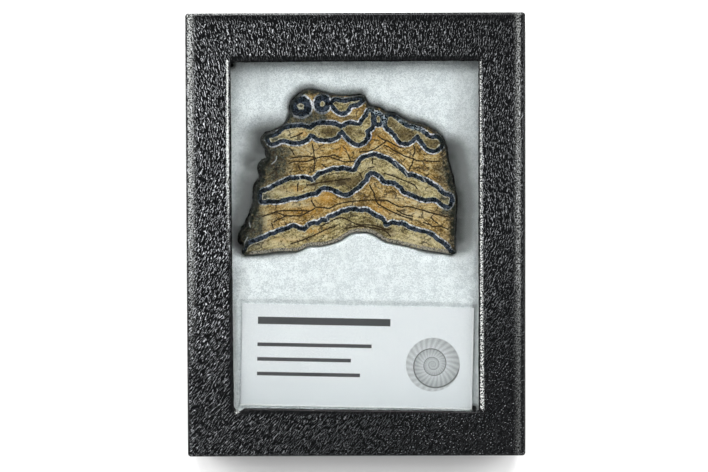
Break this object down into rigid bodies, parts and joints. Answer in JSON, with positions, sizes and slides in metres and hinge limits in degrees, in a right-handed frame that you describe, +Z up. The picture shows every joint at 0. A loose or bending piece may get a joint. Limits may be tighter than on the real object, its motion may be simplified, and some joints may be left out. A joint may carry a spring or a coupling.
{
  "type": "fossil mammoth molar slice",
  "caption": "Polished fossil mammoth molar slice with wavy enamel plates, on white batting in a small black card display box with a glass window and a plain label.",
  "frame": {"origin": "middle of the tray's underside, on the surface that the box lies on", "axes": "+Z up out of the window, +Y along the long side towards the tooth's crown, +X across to the right as the label is read"},
  "size_m": [0.0826, 0.108, 0.019],
  "materials": {
    "black_grained_paper": "card covered in black paper with a pebbled leather grain, satin",
    "white_batting": "soft matt fibre wadding",
    "fossil_tooth": "sawn and polished fossil tooth: tan and orange-brown dentine and cement, dark blue-grey enamel with white rims",
    "label_paper": "matt paper with plain grey rules",
    "clear_glass": "clear polished pane"
  },
  "bodies": {
    "root": {"base_tray": "black_grained_paper", "batting_pad": "white_batting", "molar_slice": "fossil_tooth", "label_card": "label_paper", "window_glass": "clear_glass", "lid_frame": "black_grained_paper"}
  },
  "joints": []
}
